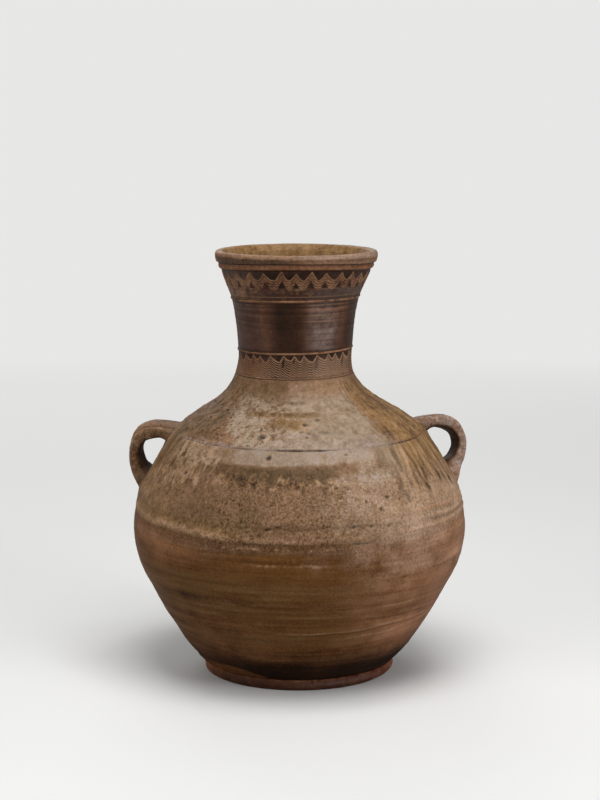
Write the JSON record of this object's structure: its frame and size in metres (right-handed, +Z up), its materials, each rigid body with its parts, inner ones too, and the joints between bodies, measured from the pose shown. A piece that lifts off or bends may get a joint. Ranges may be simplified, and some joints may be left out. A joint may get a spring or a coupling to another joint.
{
  "type": "two-handled stoneware storage jar",
  "caption": "Tall-necked jar with a swelling body, rolled lip, low foot ring, combed wave bands, thin neck cords and a strap loop on each shoulder.",
  "frame": {"origin": "middle of the foot's underside, on the surface that the jar stands on", "axes": "+Z up to the mouth, -Y to the front as pictured, +X to the right loop"},
  "size_m": [0.2801, 0.2742, 0.3475],
  "materials": {
    "foot_clay": "bare red-brown stoneware, worn smooth, faintly rough",
    "lower_clay": "chocolate to red-brown fired skin with a dull sheen and turned streaks",
    "bare_tan_clay": "granular tan clay with fly ash, matt",
    "glaze_runs": "thin olive and golden ash runs over tan clay, semi-gloss",
    "ash_glaze": "pale cream to olive natural ash glaze, glossy where it pools",
    "neck_clay": "dark brown skin with a purple-grey sheen, semi-gloss",
    "lip_clay": "tan-brown clay, worn pale on the crest",
    "cord_clay": "tan clay cord, worn",
    "loop_clay": "tan clay with pinkish-grey ash, matt"
  },
  "bodies": {
    "root": {"foot_ring": "foot_clay", "base_slab": "lower_clay", "lower_wall": "lower_clay", "lower_belly": "lower_clay", "upper_belly": "bare_tan_clay", "shoulder_wall": "glaze_runs", "shoulder_top": "ash_glaze", "neck_collar": "neck_clay", "neck_tube": "neck_clay", "mouth_cup": "neck_clay", "rim_lip": "lip_clay", "lower_neck_cord": "cord_clay", "upper_neck_cord": "cord_clay", "left_handle": "loop_clay", "right_handle": "loop_clay"}
  },
  "joints": []
}
